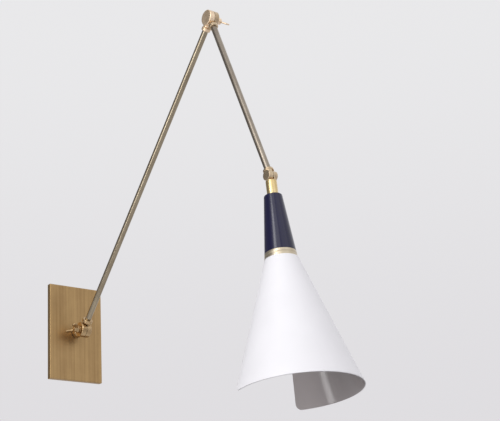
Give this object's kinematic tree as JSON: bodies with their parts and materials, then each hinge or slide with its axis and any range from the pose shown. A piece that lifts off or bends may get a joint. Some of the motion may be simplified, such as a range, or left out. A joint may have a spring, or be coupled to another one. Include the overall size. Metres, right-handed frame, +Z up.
{
  "type": "wall lamp",
  "caption": "Articulated wall lamp: rectangular plate, turning stem, tube arms on half-lapped knuckles with wing nuts, tapered cup and open-backed cone shade that tilts and turns.",
  "frame": {"origin": "middle of the wall plate on the wall plane, halfway between the strap's two slotted wall holes", "axes": "+X to the right along the wall for someone facing it, +Y into the wall, +Z up; the room is on the -Y side"},
  "size_m": [0.184, 0.7019, 0.6654],
  "materials": {
    "antique_brass": "satin",
    "polished_brass": "polished",
    "zinc_steel": "satin",
    "navy_enamel": "gloss",
    "white_enamel": "satin",
    "friction_fibre": "matte",
    "lead_sheath": "matte",
    "contact_brass": "satin",
    "white_insulator": "gloss",
    "opal_glass": "satin",
    "white_ceramic": "matte"
  },
  "bodies": {
    "wall_plate": {"back_plate": "antique_brass", "mounting_strap": "zinc_steel", "plate_screws": "antique_brass", "earth_screw": "contact_brass", "stem_bush": "antique_brass", "stop_pin": "zinc_steel"},
    "stem": {"stem_knuckle": "antique_brass", "stem_washer": "friction_fibre", "stop_washer": "zinc_steel", "stem_spring_washer": "zinc_steel", "stem_nut": "antique_brass", "stem_lead": "lead_sheath"},
    "lower_arm": {"lower_arm_foot": "antique_brass", "lower_arm_tube": "antique_brass", "lower_arm_head": "antique_brass", "lower_friction_ring": "friction_fibre", "lower_pivot_stud": "antique_brass", "lower_flat_washer": "antique_brass", "lower_spring_washer": "antique_brass", "upper_friction_ring": "friction_fibre", "upper_pivot_stud": "antique_brass", "upper_flat_washer": "antique_brass", "upper_spring_washer": "antique_brass", "lower_arm_lead": "lead_sheath"},
    "lower_wing": {"lower_wing_nut": "antique_brass"},
    "upper_wing": {"upper_wing_nut": "antique_brass"},
    "upper_arm": {"upper_arm_head": "antique_brass", "upper_arm_tube": "antique_brass", "upper_arm_foot": "antique_brass", "upper_arm_lead": "lead_sheath", "shade_friction_ring": "friction_fibre", "shade_pivot_screw": "antique_brass", "shade_spring_washer": "zinc_steel"},
    "shade_joint": {"shade_knuckle": "antique_brass", "sleeve": "polished_brass", "pipe_washer": "zinc_steel", "shade_joint_lead": "lead_sheath"},
    "shade_head": {"lamp_pipe": "contact_brass", "cup_washer": "friction_fibre", "shade_cup": "navy_enamel", "cup_nut": "zinc_steel", "shade_ring": "polished_brass", "shade": "white_enamel", "lampholder_cap": "white_insulator", "lampholder_body": "white_insulator", "lampholder_core": "white_ceramic", "screw_shell": "contact_brass", "centre_contact": "contact_brass", "terminal_screws": "contact_brass", "holder_ring": "white_insulator", "bulb_glass": "opal_glass", "bulb_cap": "zinc_steel", "bulb_contact": "zinc_steel", "holder_lead": "lead_sheath"}
  },
  "joints": [
    {"name": "base_swivel", "type": "hinge", "parent": "wall_plate", "child": "stem", "pos_m": [0, 0, 0], "axis": [0, 1, 0], "range_deg": [-165, 165]},
    {"name": "lower_hinge", "type": "hinge", "parent": "stem", "child": "lower_arm", "pos_m": [0, -0.0351, 0], "axis": [1, 0, 0], "range_deg": [-40, 65]},
    {"name": "upper_hinge", "type": "hinge", "parent": "lower_arm", "child": "upper_arm", "pos_m": [0, -0.45227, 0.41863], "axis": [1, 0, 0], "range_deg": [-113, 11]},
    {"name": "shade_tilt", "type": "hinge", "parent": "upper_arm", "child": "shade_joint", "pos_m": [0, -0.57998, 0.09932], "axis": [1, 0, 0], "range_deg": [-105, 74]},
    {"name": "shade_turn", "type": "hinge", "parent": "shade_joint", "child": "shade_head", "pos_m": [0, -0.57998, 0.09932], "axis": [0, -0.0924, -0.9957], "range_deg": [-170, 170]},
    {"name": "lower_wing_turn", "type": "hinge", "parent": "lower_arm", "child": "lower_wing", "pos_m": [0, -0.0351, 0], "axis": [-1, 0, 0], "continuous": true},
    {"name": "upper_wing_turn", "type": "hinge", "parent": "lower_arm", "child": "upper_wing", "pos_m": [0, -0.45227, 0.41863], "axis": [1, 0, 0], "continuous": true}
  ]
}
